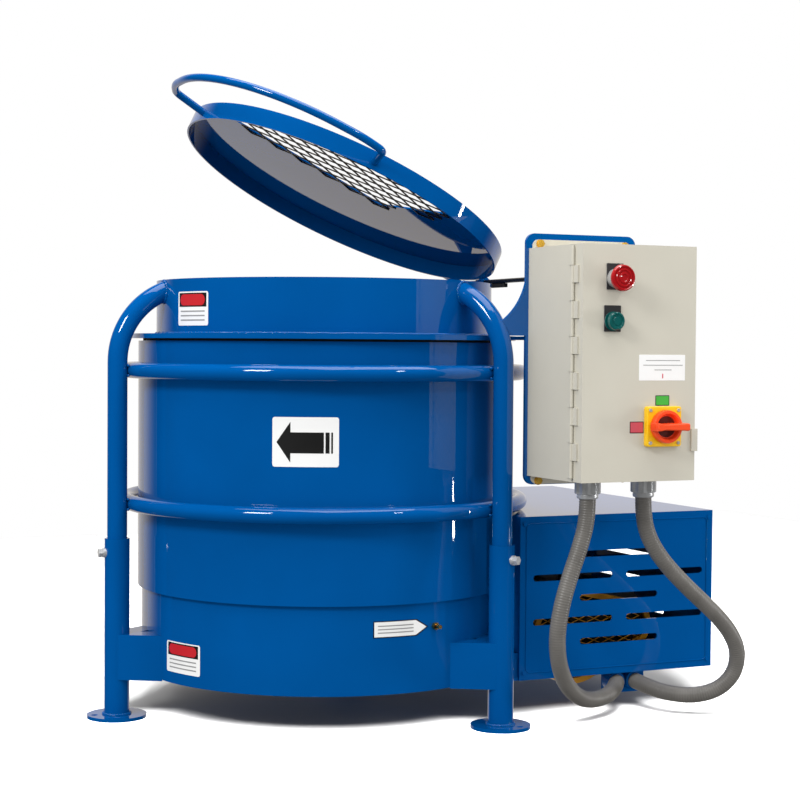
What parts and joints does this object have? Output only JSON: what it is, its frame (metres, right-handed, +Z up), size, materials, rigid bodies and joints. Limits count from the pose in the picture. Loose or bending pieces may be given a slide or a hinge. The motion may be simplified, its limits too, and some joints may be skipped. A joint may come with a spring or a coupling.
{
  "type": "clay mixer",
  "caption": "Rotating-tub clay mixer with tube guards, hinged lid with grate and bow handle, ventilated drive cover and wall-type control enclosure on a side plate.",
  "frame": {"origin": "on the floor below the tub's axis, the centre of the circle of the three floor bolts", "axes": "+Z up along the tub's axis, +X from the tub towards the drive cover, the control enclosure on the -Y side"},
  "size_m": [1.045, 0.915, 1.0644],
  "materials": {
    "blue_paint": "gloss",
    "grey_enclosure": "satin textured",
    "zinc": "zinc plated",
    "conduit_grey": "ribbed satin",
    "yellow_paint": "gloss",
    "yellow_plastic": "gloss",
    "orange_red": "gloss",
    "red_button": "gloss",
    "green_button": "gloss",
    "bezel_metal": "polished",
    "dark_steel": "oiled",
    "motor_grey": "satin",
    "cast_housing": "painted satin",
    "belt_rubber": "matte",
    "black_rod": "satin",
    "brass": "satin",
    "switch_plastic": "matte"
  },
  "bodies": {
    "frame": {"base_skirt": "blue_paint", "base_spider": "blue_paint", "belt_guard": "yellow_paint", "clamp_bolt_front": "zinc", "clamp_bolt_left": "zinc", "clamp_bolt_rear": "zinc", "collar": "blue_paint", "conduit_fitting_left": "zinc", "conduit_fitting_right": "zinc", "conduit_left": "conduit_grey", "conduit_right": "conduit_grey", "cover_back_panel": "blue_paint", "cover_front_panel": "blue_paint", "cover_shell": "blue_paint", "drive_belt": "belt_rubber", "drive_chain": "dark_steel", "drive_deck": "blue_paint", "enclosure_box": "grey_enclosure", "flange_plate": "blue_paint", "gear_reducer": "cast_housing", "grease_fitting": "brass", "guard_post_front": "blue_paint", "guard_post_left": "blue_paint", "guard_post_rear": "blue_paint", "hinge_lug_front": "blue_paint", "hinge_lug_rear": "blue_paint", "junction_box": "blue_paint", "leg_bracket_front": "blue_paint", "leg_bracket_left": "blue_paint", "leg_bracket_rear": "blue_paint", "leg_front": "blue_paint", "leg_left": "blue_paint", "leg_rear": "blue_paint", "lower_guard_ring": "blue_paint", "motor": "motor_grey", "panel_brace": "blue_paint", "panel_plate": "blue_paint", "plow_blade": "blue_paint", "scraper_bar": "blue_paint", "switchgear": "switch_plastic", "upper_guard_ring": "blue_paint"},
    "tub": {"tub_shell": "blue_paint", "tub_floor": "blue_paint", "tub_sprocket": "dark_steel"},
    "lid": {"lid_pan": "blue_paint", "lid_grate": "dark_steel", "lid_handle": "blue_paint", "lid_hinge_pin": "black_rod"},
    "door": {"enclosure_door": "grey_enclosure", "door_clamp": "zinc", "stop_bezel": "bezel_metal", "start_bezel": "bezel_metal", "disconnect_plate": "yellow_plastic"},
    "stop_push": {"stop_mushroom": "red_button"},
    "start_push": {"start_button": "green_button"},
    "disconnect": {"disconnect_handle": "orange_red"},
    "gear_output": {"drive_sprocket": "dark_steel"},
    "gear_input": {"input_pulley": "dark_steel"},
    "motor_rotor": {"motor_pulley": "dark_steel"}
  },
  "joints": [
    {"name": "tub_spin", "type": "hinge", "parent": "frame", "child": "tub", "pos_m": [0, 0, 0.2], "axis": [0, 0, 1], "continuous": true},
    {"name": "lid_hinge", "type": "hinge", "parent": "frame", "child": "lid", "pos_m": [0.318, 0, 0.746], "axis": [0, 1, 0], "range_deg": [-26, 60]},
    {"name": "door_hinge", "type": "hinge", "parent": "frame", "child": "door", "pos_m": [0.229, -0.473, 0.6], "axis": [0, 0, -1], "range_deg": [0, 110]},
    {"name": "stop_press", "type": "slide", "parent": "door", "child": "stop_push", "axis": [0, 1, 0], "range_m": [0, 0.006]},
    {"name": "start_press", "type": "slide", "parent": "door", "child": "start_push", "axis": [0, 1, 0], "range_m": [0, 0.004], "stiffness_N_per_m": 500},
    {"name": "disconnect_turn", "type": "hinge", "parent": "door", "child": "disconnect", "pos_m": [0.378, -0.51, 0.5025], "axis": [0, 1, 0], "range_deg": [0, 90]},
    {"name": "gear_output_spin", "type": "hinge", "parent": "frame", "child": "gear_output", "pos_m": [0.375, 0.03, 0.181], "axis": [0, 0, 1], "continuous": true},
    {"name": "gear_input_spin", "type": "hinge", "parent": "frame", "child": "gear_input", "pos_m": [0.375, -0.215, 0.126], "axis": [0, 1, 0], "continuous": true},
    {"name": "motor_spin", "type": "hinge", "parent": "frame", "child": "motor_rotor", "pos_m": [0.488, -0.215, 0.142], "axis": [0, 1, 0], "continuous": true}
  ],
  "couplings": [
    {"joint": "gear_output_spin", "follows": "tub_spin", "ratio": 3.3333},
    {"joint": "gear_input_spin", "follows": "tub_spin", "ratio": 33.333},
    {"joint": "motor_spin", "follows": "tub_spin", "ratio": 77.778}
  ]
}
